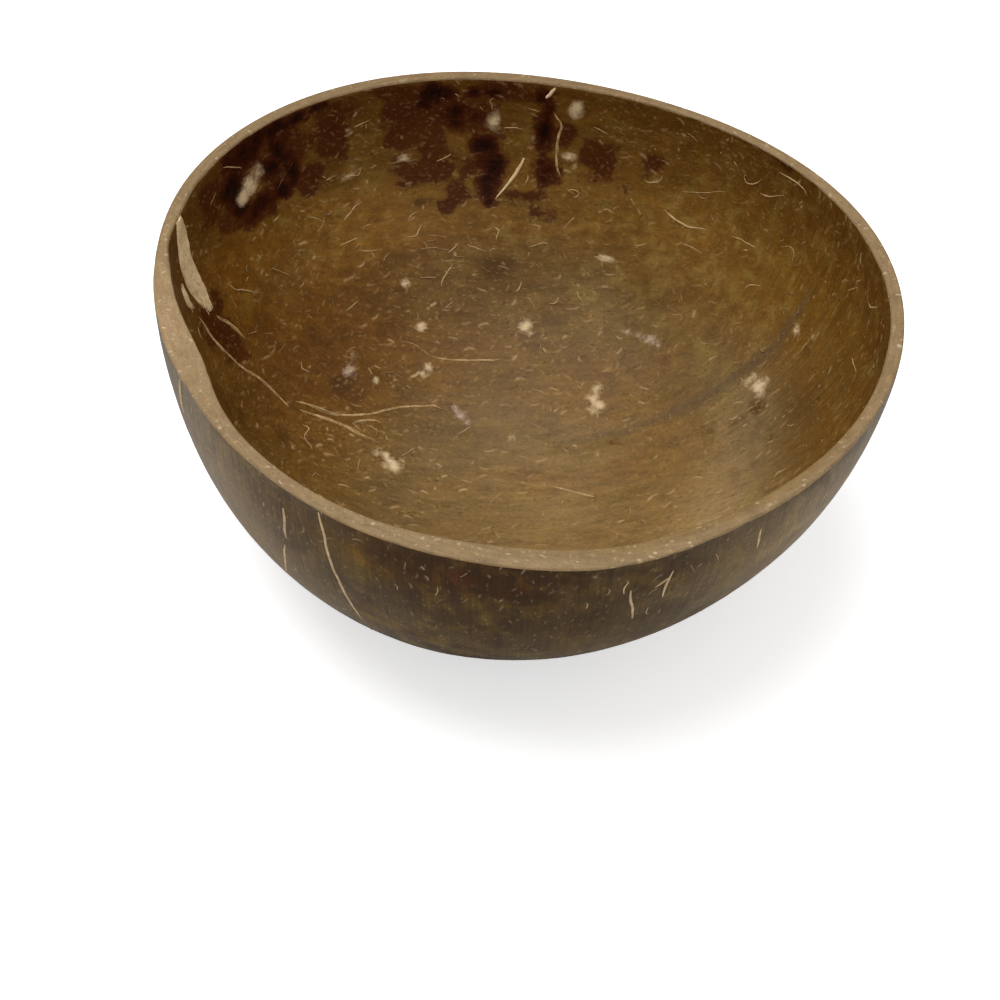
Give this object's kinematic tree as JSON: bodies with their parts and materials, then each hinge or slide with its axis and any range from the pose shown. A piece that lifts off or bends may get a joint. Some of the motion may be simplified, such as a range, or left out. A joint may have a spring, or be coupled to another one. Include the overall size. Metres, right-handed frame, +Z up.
{
  "type": "coconut shell bowl",
  "caption": "Half of a coconut's hard shell as a round bowl, ground flat at the rim and underneath, with husk fibres grown into its wall.",
  "frame": {"origin": "middle of the bowl's outline on the plane that its ground underside rests on", "axes": "+Z up, out of the mouth; +X along the rim's longer way, to the right in the picture; +Y to the back"},
  "size_m": [0.1394, 0.138, 0.059],
  "materials": {
    "shell": "hard coconut shell, fibrous olive brown inside, dark brown and finely grained outside, oiled to a soft gloss",
    "husk": "pale dry husk fibre, matte",
    "thread": "tan husk thread under the same oil as the shell",
    "bristle": "pale husk bristle ground level with the outside"
  },
  "bodies": {
    "root": {"shell": "shell", "seam_strip": "husk", "seam_shred": "husk", "back_spike": "husk", "seam_thread": "thread", "seam_upper_thread": "thread", "seam_tail_thread": "thread", "floor_thread": "thread", "back_floor_thread": "thread", "back_rim_thread": "thread", "back_seam_thread": "thread", "right_thread": "thread", "front_floor_thread": "thread", "ridge_bristle": "bristle", "left_bristle": "bristle", "left_lower_bristle": "bristle", "front_bristle": "bristle", "forked_bristle": "bristle", "lower_bristle": "bristle", "right_bristle": "bristle"}
  },
  "joints": []
}
